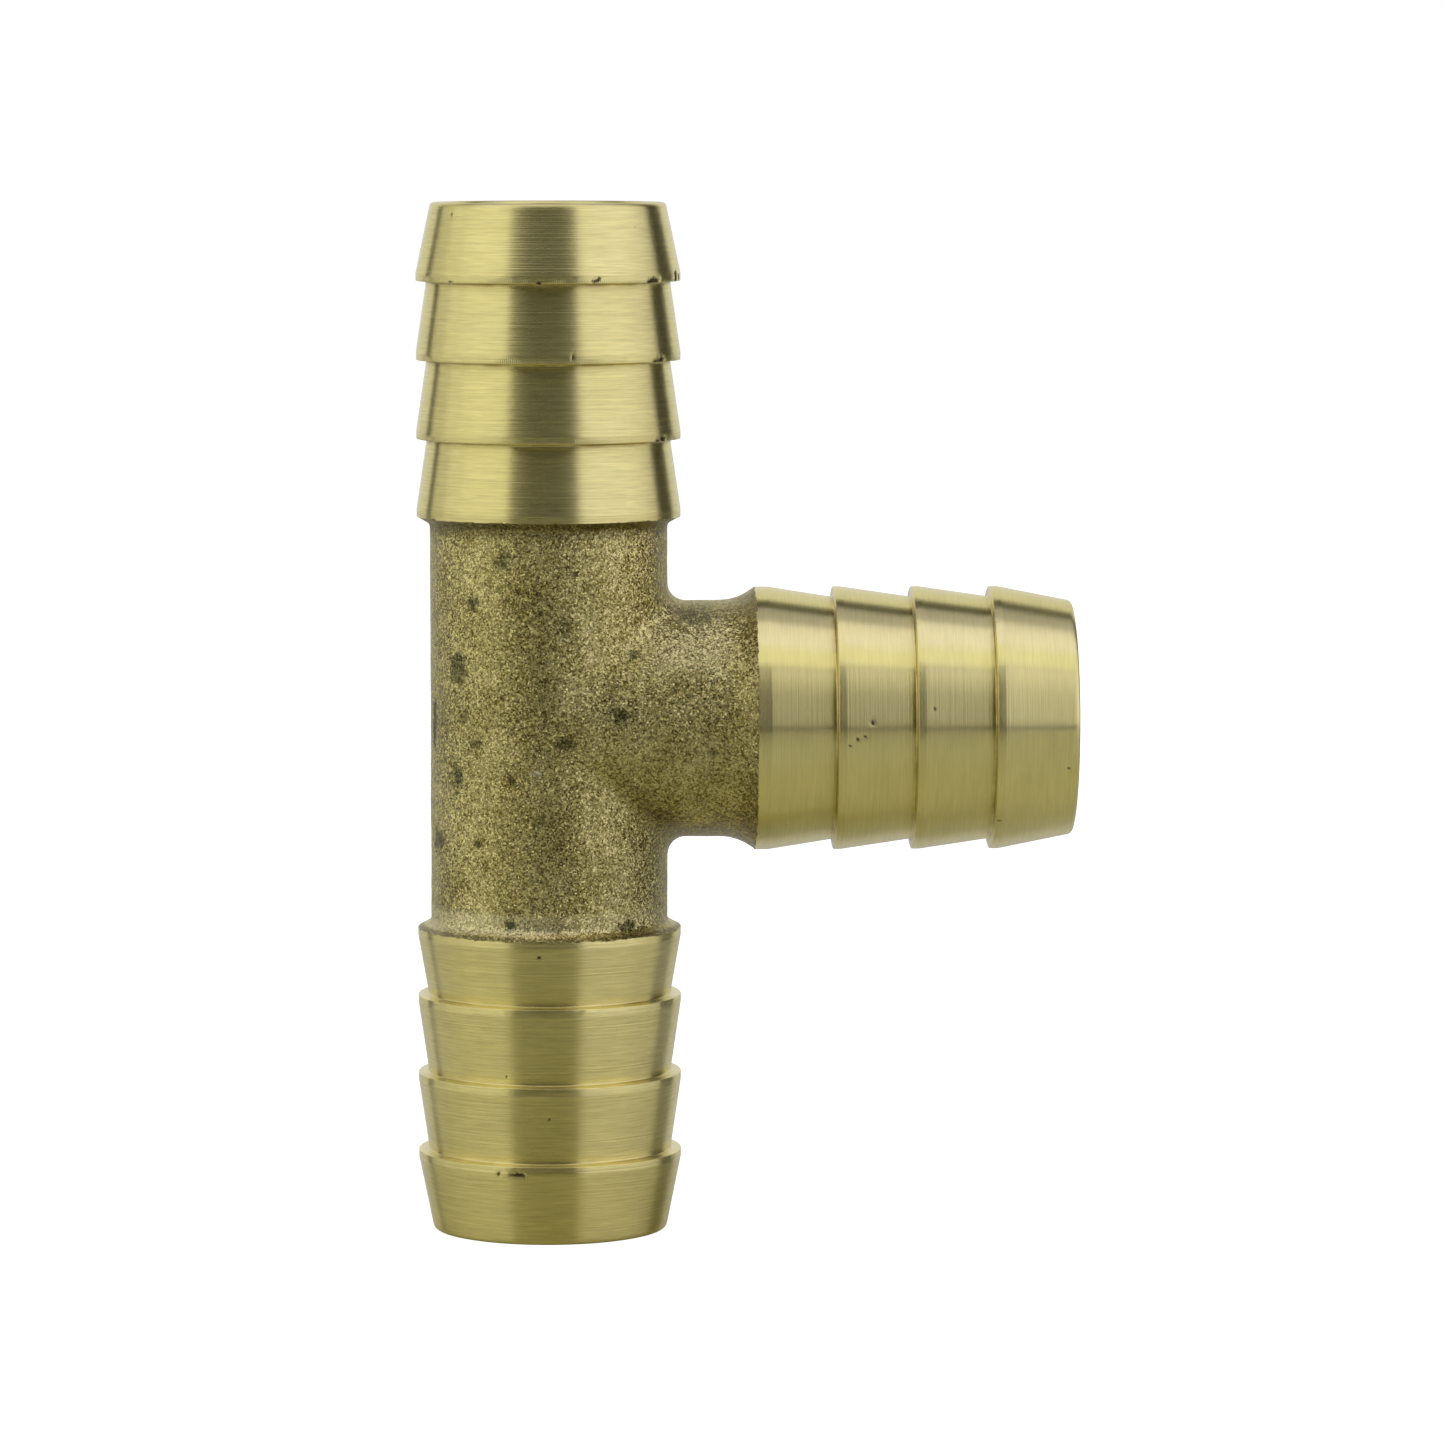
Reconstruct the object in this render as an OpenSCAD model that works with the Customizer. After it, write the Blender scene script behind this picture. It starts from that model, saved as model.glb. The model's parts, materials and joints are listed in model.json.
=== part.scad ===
// Barbed tee connector for 19 mm (3/4 inch) hose: a cast tee body with three turned hose tails.
// The run stands along Z and the branch points along +X. Their axes cross at the origin.

/* [Bores] */
// Diameter of the straight bore through the run
run_bore_d = 15; // [12:0.1:15.4]
// Diameter of the bore along the branch, which opens into the run
branch_bore_d = 15; // [12:0.1:15.4]
// Chamfer where each bore breaks through its end face
bore_chamfer = 0.2; // [0.1:0.05:0.4]

/* [Cast body] */
// Diameter of the as-cast necks of the run and the branch
neck_d = 18.5; // [18:0.1:18.7]
// Distance from the branch axis to the top of the body
body_top = 15.8; // [14:0.05:17]
// Distance from the branch axis to the bottom of the body
body_bottom = 16.25; // [14:0.05:17]
// Distance from the run axis to the branch end of the body
body_side = 15.95; // [14.5:0.05:17]
// Radius of the fillet in the two inner corners of the tee
corner_fillet = 1.4; // [1:0.1:2]
// Radius of the arc that starts each flare of the run
run_flare_arc = 0.4; // [0.2:0.1:0.6]
// Steepness of the flares of the run, in degrees from the axis
run_flare_slope = 60; // [45:1:70]
// Radius of the arc that starts the flare of the branch
branch_flare_arc = 4.1; // [2:0.1:4.2]
// Steepness of the flare of the branch, in degrees from the axis
branch_flare_slope = 33; // [28:1:34]

/* [Hose tails] */
// Diameter across the barb crests, which grip the hose
crest_d = 20.5; // [20.2:0.1:21.5]
// Diameter of the valleys behind the barbs
valley_d = 18.9; // [18.6:0.1:19.5]
// Diameter of the tip that enters the hose first
tip_d = 18.2; // [17.6:0.1:18.8]
// Distance from one barb's crest to the next
barb_pitch = 6.1; // [5.8:0.05:6.2]
// Number of free barbs on each tail, not counting the one that joins the body
barb_count = 3; // [2:1:3]
// Length of the flat land on each crest
crest_land = 0.6; // [0.3:0.1:1]
// Slant of the shoulder behind each crest
shoulder_slant = 0.08; // [0.02:0.01:0.3]
// Radius of the rounded outer edge of each tip
tip_round = 0.35; // [0.2:0.05:0.5]

/* [Overall size] */
// Distance from the branch axis to the top end face
top_reach = 40.1; // [38:0.05:44]
// Distance from the branch axis to the bottom end face
bottom_reach = 39.95; // [39:0.05:44]
// Distance from the run axis to the branch end face
branch_reach = 40.7; // [39:0.05:44]
// Distance from the top end face back to the first crest
top_tip_length = 6.05; // [5:0.05:6.2]
// Distance from the bottom end face back to the first crest
bottom_tip_length = 6.25; // [5:0.05:6.3]
// Distance from the branch end face back to the first crest
branch_tip_length = 6.4; // [5:0.05:6.5]

/* [Hidden] */
$fn = 120;

cast_brass = [0.51, 0.45, 0.25];
turned_brass = [0.80, 0.74, 0.46];

neck_r = neck_d / 2;
crest_r = crest_d / 2;
valley_r = valley_d / 2;
tip_r = tip_d / 2;
run_bore_r = run_bore_d / 2;
branch_bore_r = branch_bore_d / 2;

cut_margin = 1;
round_steps = 6;
flare_steps = 8;

// The corner fillet is a strip of slices, each an arc that touches both necks.
// The arc sinks this far below the necks' surface, so that the surfaces cross and don't graze.
fillet_sink = 0.05;
// Depth of a slice's buried points under the necks, and under the corner between them
fillet_root = 1.2;
fillet_core = 1.5;
// Angle from the tee's middle plane at which the fillet has faded out
fillet_end_angle = 56;
fillet_slices = 16;
fillet_arc_steps = 6;

// ---- Cast body ----

// Points [radius, height] of a flare that leaves the neck on an arc and meets the crest on a cone
function flare_points(end_height, arc_r, slope) =
    let (
        cone_rise = crest_r - neck_r - arc_r * (1 - cos(slope)),
        start_height = end_height - arc_r * sin(slope) - cone_rise / tan(slope)
    )
    concat(
        [for (i = [0 : flare_steps])
            let (turn = slope * i / flare_steps)
            [neck_r + arc_r * (1 - cos(turn)), start_height + arc_r * sin(turn)]],
        [[crest_r, end_height]]
    );

// A solid neck that starts on the crossing point and ends in a flare
module flared_neck(length, arc_r, slope) {
    rotate_extrude()
        polygon(concat([[0, 0], [neck_r, 0]], flare_points(length, arc_r, slope), [[0, length]]));
}

// Directions from the centre of a rolling ball to the point where it touches the run, or the branch
function to_run(angle) = [-cos(angle), -sin(angle), 0];
function to_branch(angle) = [0, -sin(angle), -cos(angle)];

// Centre of the ball that touches both necks, at an angle around them
function ball_centre(angle) =
    (neck_r + corner_fillet) * [cos(angle), sin(angle), cos(angle)];

// One slice of the fillet: its arc from the run to the branch, and three points buried in the wall
function fillet_slice(angle) =
    let (
        centre = ball_centre(angle),
        span = acos(to_run(angle) * to_branch(angle)),
        middle = to_run(angle) + to_branch(angle)
    )
    concat(
        [for (i = [0 : fillet_arc_steps])
            let (share = i / fillet_arc_steps)
            centre + (corner_fillet + fillet_sink) / sin(span)
                * (sin((1 - share) * span) * to_run(angle) + sin(share * span) * to_branch(angle))],
        [
            centre + (corner_fillet + fillet_root) * to_branch(angle),
            centre + (corner_fillet + fillet_core) * middle / norm(middle),
            centre + (corner_fillet + fillet_root) * to_run(angle)
        ]
    );

// The fillet in one inner corner, as slices joined into a closed strip
module corner_fillet_strip() {
    points_per_slice = fillet_arc_steps + 4;
    slice_angles = [for (i = [0 : fillet_slices])
        fillet_end_angle * (2 * i / fillet_slices - 1)];
    sides = [for (i = [0 : fillet_slices - 1], j = [0 : points_per_slice - 1])
        let (
            here = i * points_per_slice,
            next = here + points_per_slice,
            k = (j + 1) % points_per_slice
        )
        each [
            [here + j, next + j, next + k],
            [here + j, next + k, here + k]
        ]];
    first_cap = [for (j = [0 : points_per_slice - 1]) j];
    last_cap = [for (j = [points_per_slice - 1 : -1 : 0])
        fillet_slices * points_per_slice + j];
    polyhedron(
        points = [for (angle = slice_angles) each fillet_slice(angle)],
        faces = concat([first_cap], sides, [last_cap])
    );
}

module tee_body() {
    color(cast_brass)
    difference() {
        union() {
            flared_neck(body_top, run_flare_arc, run_flare_slope);
            mirror([0, 0, 1])
                flared_neck(body_bottom, run_flare_arc, run_flare_slope);
            rotate([0, 90, 0])
                flared_neck(body_side, branch_flare_arc, branch_flare_slope);
            corner_fillet_strip();
            mirror([0, 0, 1])
                corner_fillet_strip();
        }
        translate([0, 0, -body_bottom - cut_margin])
            cylinder(r = run_bore_r, h = body_top + body_bottom + 2 * cut_margin);
        rotate([0, 90, 0])
            cylinder(r = branch_bore_r, h = body_side + cut_margin);
    }
}

// ---- Hose tails ----

// Points [radius, height] of one barb, from its land to the valley behind its shoulder
function barb_points(crest_height) = [
    [crest_r, crest_height + crest_land],
    [crest_r, crest_height],
    [valley_r, crest_height - shoulder_slant]
];

// Points [radius, height] of the rounded outer edge of a tip
function tip_points(end_height) = [
    for (i = [0 : round_steps])
        let (turn = 90 * i / round_steps)
        [tip_r - tip_round * (1 - sin(turn)), end_height - tip_round * (1 - cos(turn))]
];

// A tail around the Z axis, from the face where it joins the body to its end face
module hose_tail(base_height, end_height, tip_length, bore_r) {
    first_crest = end_height - tip_length;
    rotate_extrude()
        polygon(concat(
            [
                [bore_r, base_height],
                [bore_r, end_height - bore_chamfer],
                [bore_r + bore_chamfer, end_height]
            ],
            tip_points(end_height),
            [for (i = [0 : barb_count - 1]) each barb_points(first_crest - i * barb_pitch)],
            [[crest_r, base_height + crest_land], [crest_r, base_height]]
        ));
}

module upper_hose_tail() {
    color(turned_brass)
        hose_tail(body_top, top_reach, top_tip_length, run_bore_r);
}

module lower_hose_tail() {
    color(turned_brass)
    mirror([0, 0, 1])
        hose_tail(body_bottom, bottom_reach, bottom_tip_length, run_bore_r);
}

module branch_hose_tail() {
    color(turned_brass)
    rotate([0, 90, 0])
        hose_tail(body_side, branch_reach, branch_tip_length, branch_bore_r);
}

tee_body();
upper_hose_tail();
lower_hose_tail();
branch_hose_tail();
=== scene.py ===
"""Looks of the barbed tee connector: a sand-cast brass body with three turned hose tails.

Everything is in metres in the CAD frame: Z along the run, X along the branch, origin where they cross.
"""

import json
import math

import bmesh
import bpy
import numpy as np
from mathutils import Matrix, Vector, noise


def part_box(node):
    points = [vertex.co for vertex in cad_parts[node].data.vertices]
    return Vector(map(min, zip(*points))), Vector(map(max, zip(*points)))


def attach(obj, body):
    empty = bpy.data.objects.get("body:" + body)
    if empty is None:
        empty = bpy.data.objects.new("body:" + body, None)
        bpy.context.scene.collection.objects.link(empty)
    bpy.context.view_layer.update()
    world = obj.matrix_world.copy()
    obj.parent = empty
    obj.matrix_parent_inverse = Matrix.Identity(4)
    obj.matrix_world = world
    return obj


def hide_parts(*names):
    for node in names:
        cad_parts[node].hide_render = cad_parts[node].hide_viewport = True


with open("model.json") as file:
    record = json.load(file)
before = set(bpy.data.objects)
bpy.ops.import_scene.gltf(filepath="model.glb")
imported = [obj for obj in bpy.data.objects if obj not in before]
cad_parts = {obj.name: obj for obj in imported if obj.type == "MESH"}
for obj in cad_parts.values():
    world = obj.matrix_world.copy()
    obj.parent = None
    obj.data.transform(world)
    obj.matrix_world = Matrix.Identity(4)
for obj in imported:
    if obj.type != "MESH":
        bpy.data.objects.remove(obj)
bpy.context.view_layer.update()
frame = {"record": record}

MM = 0.001
SEED_OFFSET = 37.0

# ---------------------------------------------------------------- sizes, from the frame
mounts = {m["name"]: m for m in frame["record"]["mounts"]}
body_low, body_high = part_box("tee_body")

CREST_R = mounts["upper_hose_barb"]["dims"]["r_mm"] * MM
LAND = mounts["upper_hose_barb"]["dims"]["length_mm"] * MM
BORE_R = mounts["run_bore"]["dims"]["r_mm"] * MM

BODY_TOP, BODY_BOTTOM, BODY_SIDE = body_high.z, -body_low.z, body_high.x
TOP_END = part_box("upper_hose_tail")[1].z
BOTTOM_END = -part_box("lower_hose_tail")[0].z
BRANCH_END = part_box("branch_hose_tail")[1].x

# ---------------------------------------------------------------- sizes, of the design
NECK_R = 9.25 * MM
VALLEY_R = 9.45 * MM
TIP_R = 9.1 * MM
BARB_PITCH = 6.1 * MM
BARB_COUNT = 3                     # besides the land at the base
CORNER_FILLET = 1.4 * MM
EDGE_WAVE = 0.012 * MM             # how far a crest's edge strays
RUN_FLARE = (0.4 * MM, math.radians(60))       # arc radius, final slope from the axis
BRANCH_FLARE = (4.1 * MM, math.radians(33))

# ---------------------------------------------------------------- handling and casting marks
# On a tail: bearing round it (0 faces the camera, 90 is right, or up on the branch), barb counted from
# the tip, mm past that barb's crest edge, half width, half height and depth in mm.
UPPER_MARKS = [
    (-4, 0, 0.05, 0.24, 0.15, 0.05), (20, 0, 0.18, 0.24, 0.20, 0.07), (22, 0, 0.38, 0.14, 0.16, 0.05),
    (52, 0, 0.14, 0.75, 0.24, 0.12), (49, 0, 0.10, 0.35, 0.16, 0.08), (73, 0, 0.45, 0.22, 0.42, 0.10),
    (79, 0, 0.30, 0.18, 0.30, 0.08), (-53, 0, 5.25, 0.08, 0.26, 0.05), (58, 1, 0.18, 0.50, 0.22, 0.12),
    (54, 1, 0.10, 0.30, 0.12, 0.08), (59, 2, 0.18, 0.50, 0.20, 0.12), (55, 2, 0.10, 0.30, 0.10, 0.08),
    (10, 1, 0.5, 0.08, 0.18, 0.03), (-18, 2, 3.1, 0.20, 0.06, 0.03), (44, 0, 4.2, 0.06, 0.06, 0.04),
    (27, 0, 1.9, 0.06, 0.06, 0.04), (-47, 0, 0.1, 0.40, 0.07, 0.03),
]
LOWER_MARKS = [
    (-14, 0, 0.62, 0.50, 0.18, 0.08), (-12, 0, 0.70, 0.30, 0.12, 0.06),
    (-23, 0, 0.55, 0.18, 0.18, 0.07), (-9, 1, 2.3, 0.20, 0.08, 0.05), (-1, 1, 2.4, 0.07, 0.05, 0.04),
    (-21, 2, 5.3, 0.06, 0.06, 0.04), (-5, 3, 1.2, 0.14, 0.06, 0.04), (-46, 2, 5.4, 0.06, 0.06, 0.04),
]
BRANCH_MARKS = [
    (3, 2, 2.6, 0.32, 0.14, 0.05), (-3, 2, 1.9, 0.16, 0.10, 0.06), (-4, 2, 1.4, 0.12, 0.12, 0.06),
    (-7, 2, 0.8, 0.09, 0.08, 0.05), (-46, 0, 0.3, 0.10, 0.08, 0.05), (-20, 0, 5.5, 0.12, 0.09, 0.05),
    (9, 1, 1.2, 0.10, 0.05, 0.03),
]
RANDOM_MARKS = 16                  # on the far side of each tail
# On the casting, seen from the front: mm to the right, mm up, half width, half height, and darkness
# (below 0 is paler than the skin).
FRONT_STAINS_AND_PAINTED_LIGHT = [
    (-6, 9.5, 0.45, 0.5, 1.0), (-7, 4.4, 0.6, 1.3, 0.8), (-3.6, 13, 0.5, 0.8, 0.7),
    (-5.6, -1.3, 0.5, 0.4, 0.85), (-7.3, -3.8, 0.45, 0.9, 0.85), (-2.9, -4, 0.28, 0.28, 1.0),
    (1.1, -1, 0.8, 0.5, 0.75), (5.4, 1, 0.75, 0.55, 0.9), (6.4, 5.6, 0.4, 0.35, 0.8),
    (1.1, 7.7, 0.7, 1.0, 0.45), (-0.8, 8.7, 0.3, 0.4, 0.6), (-5.6, -9, 0.35, 0.35, 0.8),
    (-8.6, -9, 0.4, 0.9, 0.8), (-3, -15.1, 0.4, 0.4, 1.0), (5.8, -15.4, 0.8, 0.35, 0.9),
    (-8.9, 0, 0.13, 1.8, 1.0), (-0.8, -7, 0.7, 0.8, 0.4), (1.5, -12, 0.7, 0.8, 0.45),
    (-1, -3.4, 0.35, 0.18, -1.0), (-3.6, 2.3, 0.22, 0.22, 0.9), (-6.7, 0.8, 0.4, 0.7, 0.5),
    (-1.1, 5.3, 0.4, 0.5, 0.45), (1.9, 11.9, 0.25, 0.3, 0.7), (-0.9, 10.3, 0.25, 0.3, 0.7),
    # The wide faint patches in these two rows are painted light: painted shade down the middle of the run, on
    # the branch's lower half and below the branch, and a painted highlight (the pale one) on the branch's
    # top.
    (6.5, -11.5, 2.6, 3.6, 0.24), (11, -4, 4.0, 3.2, 0.17), (-0.5, 3, 1.7, 5.0, 0.13),
    (-6, -1, 2.6, 5.0, 0.12), (0, -9, 1.8, 4.5, 0.15), (11, 5.6, 3.4, 1.9, -0.10),
    (11.2, 8.2, 1.3, 0.5, 0.6), (9.5, 3, 0.3, 0.25, 0.5), (12.5, -2, 0.3, 0.3, 0.5),
    (10, -6, 0.35, 0.3, 0.5),
]
BACK_STAINS = 26

# ---------------------------------------------------------------- relief of the cast skin
WAVE_SIZE, WAVE_HEIGHT = 4.5 * MM, 0.035 * MM
LUMP_SIZE, LUMP_HEIGHT = 1.1 * MM, 0.018 * MM
GRAIN_SIZE, GRAIN_HEIGHT = 0.36 * MM, 0.022 * MM
SKIN_SINK = 0.03 * MM              # so that the peaks lie about the CAD surface
STAIN_DEPTH = 0.04 * MM


# ================================================================ small helpers

def link(obj):
    bpy.context.scene.collection.objects.link(obj)
    return obj


def mesh_object(name, vertices, faces):
    mesh = bpy.data.meshes.new(name)
    mesh.from_pydata([tuple(v) for v in vertices], [], faces)
    mesh.update()
    return link(bpy.data.objects.new(name, mesh))


def coordinates(mesh):
    flat = np.empty(len(mesh.vertices) * 3)
    mesh.vertices.foreach_get("co", flat)
    return flat.reshape(-1, 3)


def set_coordinates(mesh, points):
    mesh.vertices.foreach_set("co", np.asarray(points, np.float32).ravel())
    mesh.update()


def vertex_normals(mesh):
    flat = np.empty(len(mesh.vertices) * 3)
    mesh.vertices.foreach_get("normal", flat)
    return flat.reshape(-1, 3)


def smooth_noise(points, scale, seed=0.0):
    """Perlin noise from -1 to 1 at each point, with features about scale across."""
    shift = SEED_OFFSET * (1 + seed)
    return np.array([noise.noise(Vector(p / scale) + Vector((shift, -shift, 2 * shift))) for p in points])


def grain_noise(points, scale, seed=0.0):
    """Distance to the nearest grain centre, about 0 on a grain and 1 between grains."""
    shift = SEED_OFFSET * (2 + seed)
    return np.array([noise.voronoi(Vector(p / scale) + Vector((shift, shift, -shift)))[0][0] for p in points])


def smoothstep(low, high, values):
    t = np.clip((values - low) / (high - low), 0, 1)
    return t * t * (3 - 2 * t)


def store(mesh, name, values):
    """Keep one number per vertex for the materials to read."""
    mesh.attributes.new(name, "FLOAT", "POINT").data.foreach_set("value", np.asarray(values, np.float32))


# ================================================================ turned tails

def rounded_outline(corners, arc_steps=3):
    """Points (radius, height) of an outline whose corners (radius, height, rounding) are arcs."""
    points = []
    count = len(corners)
    for i, (radius, height, rounding) in enumerate(corners):
        here = np.array([radius, height])
        if rounding <= 0 or i in (0, count - 1):
            points.append(here)
            continue
        before = np.array(corners[i - 1][:2]) - here
        after = np.array(corners[i + 1][:2]) - here
        before_len, after_len = np.linalg.norm(before), np.linalg.norm(after)
        before, after = before / before_len, after / after_len
        half = math.acos(np.clip(before @ after, -1, 1)) / 2
        reach = min(rounding / math.tan(half), before_len * 0.45, after_len * 0.45)
        centre = here + (before + after) / np.linalg.norm(before + after) * reach / math.cos(half)
        start, end = here + before * reach - centre, here + after * reach - centre
        turn = math.pi - 2 * half
        for k in range(arc_steps + 1):
            t = k / arc_steps
            along = math.sin((1 - t) * turn) * start + math.sin(t * turn) * end
            points.append(centre + along / math.sin(turn))
    return points


def refined(points, outside_step, bore_step):
    """The same outline with no stretch longer than a step."""
    out = []
    for a, b in zip(points, points[1:] + points[:1]):
        step = bore_step if max(a[0], b[0]) < BORE_R * 1.001 else outside_step
        pieces = max(1, math.ceil(np.linalg.norm(b - a) / step))
        out += [a + (b - a) * k / pieces for k in range(pieces)]
    return np.array(out)


def tail_corners(base, end, first_crest, base_land):
    """Half section of a tail from the body along the outside to the bore: (radius, height, rounding)."""
    corners = [(CREST_R, base, 0), (CREST_R, base + base_land, 0.5 * MM)]
    for i in reversed(range(BARB_COUNT)):
        crest = first_crest - i * BARB_PITCH
        corners += [
            (VALLEY_R, crest - 0.08 * MM, 0.12 * MM),
            (CREST_R, crest, 0.06 * MM),
            (CREST_R, crest + LAND, 0.5 * MM),
        ]
    corners += [
        (TIP_R, end, 0.35 * MM),
        (BORE_R + 0.2 * MM, end, 0.06 * MM),
        (BORE_R, end - 0.2 * MM, 0.1 * MM),
        (BORE_R, base, 0),
    ]
    return corners


def bearings(points, turn):
    """Bearing of each point round its tail: 0 faces the camera, 90 is right, or up on the branch."""
    world = points @ np.array(turn.to_3x3()).T
    on_branch = abs(turn[0][2]) > 0.5
    return np.degrees(np.arctan2(world[:, 2] if on_branch else world[:, 0], -world[:, 1]))


def scattered_marks(rng):
    """Small nicks and pits all round a tail, in the form of the lists above."""
    marks = []
    for k in range(RANDOM_MARKS):
        at_edge = k % 2 == 0
        away = rng.uniform(0.05, 0.3) if at_edge else rng.uniform(0.6, 5.5)
        size = rng.uniform(0.10, 0.28) if at_edge else rng.uniform(0.05, 0.09)
        marks.append((rng.uniform(100, 262), rng.integers(0, BARB_COUNT + 1), away, size,
                      size * rng.uniform(0.5, 1.1), 0.05 + 0.3 * size))
    return marks


def apply_marks(points, outside, turn, crests, marks):
    """Sink each mark into the outside of a tail, and say how dirty each vertex is."""
    bearing = bearings(points, turn)
    radius = np.hypot(points[:, 0], points[:, 1])
    ragged = 0.9 * smooth_noise(points, 0.2 * MM, 3)
    depth = np.zeros(len(points))
    dirt = np.zeros(len(points))
    for angle, barb, away, half_width, half_height, deep in marks:
        turned = np.radians((bearing - angle + 180) % 360 - 180) * CREST_R
        up = points[:, 2] - (crests[barb] + away * MM)
        reach = np.hypot(turned / (half_width * MM), up / (half_height * MM)) + ragged
        share = np.where(outside, 1 - smoothstep(0.5, 1.3, reach), 0)
        depth = np.maximum(depth, share * deep * MM)
        dirt = np.maximum(dirt, share)
    scale = 1 - depth / np.maximum(radius, 1e-9)
    points[:, :2] *= scale[:, None]
    return dirt


def turned_tail(name, base, end, first_crest, turn, marks, base_land, chatter, tarnish, lines,
                segments=464):
    """A whole tail around Z, turned from its half section, with the numbers that its material reads."""
    corners = tail_corners(base, end, first_crest, base_land)
    outline = refined(rounded_outline(corners), 0.2 * MM, 1.5 * MM)
    count = len(outline)
    angles = np.arange(segments) * 2 * math.pi / segments
    radius, height = outline[:, 0], outline[:, 1]
    grid = np.empty((segments, count, 3))
    grid[:, :, 0] = np.cos(angles)[:, None] * radius
    grid[:, :, 1] = np.sin(angles)[:, None] * radius
    grid[:, :, 2] = height
    points = grid.reshape(-1, 3)
    crests = [first_crest - i * BARB_PITCH for i in range(BARB_COUNT)] + [base]
    outside = np.tile(radius > TIP_R - 0.4 * MM, segments)

    land = np.max([np.where(height >= c - 0.02 * MM, 1 - smoothstep(0.1 * MM, LAND, height - c), 0)
                   for c in crests[:-1]], axis=0)
    # how deep in the corner under each crest a vertex lies, for the painted shade there
    corner = np.max([1 - smoothstep(0.05 * MM, 0.45 * MM, np.hypot(radius - VALLEY_R, height - c))
                     for c in crests[:-1]], axis=0)
    edge_wave = smooth_noise(points, 0.5 * MM, 4) + smooth_noise(points, 2.5 * MM, 5)
    points[:, :2] *= (1 + np.tile(land, segments) * EDGE_WAVE * edge_wave / CREST_R)[:, None]
    dirt = apply_marks(points, outside, turn, crests, marks)

    faces = []
    for i in range(segments):
        a, b = i * count, ((i + 1) % segments) * count
        faces += [(a + j, b + j, b + (j + 1) % count, a + (j + 1) % count) for j in range(count)]
    tail = mesh_object(name, points, faces)
    finish_mesh(tail)
    store(tail.data, "lines", np.full(len(points), lines))
    store(tail.data, "chatter", np.tile(land * chatter, segments))
    store(tail.data, "corner", np.tile(corner * tarnish, segments))
    store(tail.data, "above_base", np.where(outside, points[:, 2] - base, 1.0))
    store(tail.data, "dirt", dirt)
    return tail


def finish_mesh(obj, sharp_angle=38):
    """Outward normals, and smooth shading that keeps corners sharper than the angle."""
    bm = bmesh.new()
    bm.from_mesh(obj.data)
    bmesh.ops.recalc_face_normals(bm, faces=bm.faces)
    bm.to_mesh(obj.data)
    bm.free()
    obj.data.polygons.foreach_set("use_smooth", [True] * len(obj.data.polygons))
    obj.data.set_sharp_from_angle(angle=math.radians(sharp_angle))
    obj.data.update()


# ================================================================ cast body

def neck_radius(height, length, flare):
    """Radius of a neck at each height along its axis, with the flare at its end."""
    arc_r, slope = flare
    cone_rise = CREST_R - NECK_R - arc_r * (1 - math.cos(slope))
    arc_end = length - cone_rise / math.tan(slope)
    start = arc_end - arc_r * math.sin(slope)
    along = np.clip(height - start, 0, arc_r * math.sin(slope))
    arc = arc_r - np.sqrt(arc_r ** 2 - along ** 2)
    cone = np.clip(height - arc_end, 0, None) * math.tan(slope)
    return np.minimum(NECK_R + arc + cone, CREST_R)


def solid_neck(lengths, flares, overrun, segments=96, step=0.15 * MM):
    """Closed blank around Z from -lengths[0] to lengths[1], each end carried on by overrun."""
    low, high = -lengths[0] - overrun, lengths[1] + overrun
    heights = np.linspace(low, high, int((high - low) / step))
    radius = np.where(heights < 0,
                      neck_radius(-heights, lengths[0], flares[0]),
                      neck_radius(heights, lengths[1], flares[1]))
    bm = bmesh.new()
    rings = []
    for r, z in zip(radius, heights):
        rings.append([bm.verts.new((r * math.cos(a), r * math.sin(a), z))
                      for a in np.arange(segments) * 2 * math.pi / segments])
    for lower, upper in zip(rings, rings[1:]):
        for k in range(segments):
            bm.faces.new((lower[k - 1], lower[k], upper[k], upper[k - 1]))
    bm.faces.new(rings[0][::-1])
    bm.faces.new(rings[-1])
    return bm


NEWTON_STEPS = 12


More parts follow.
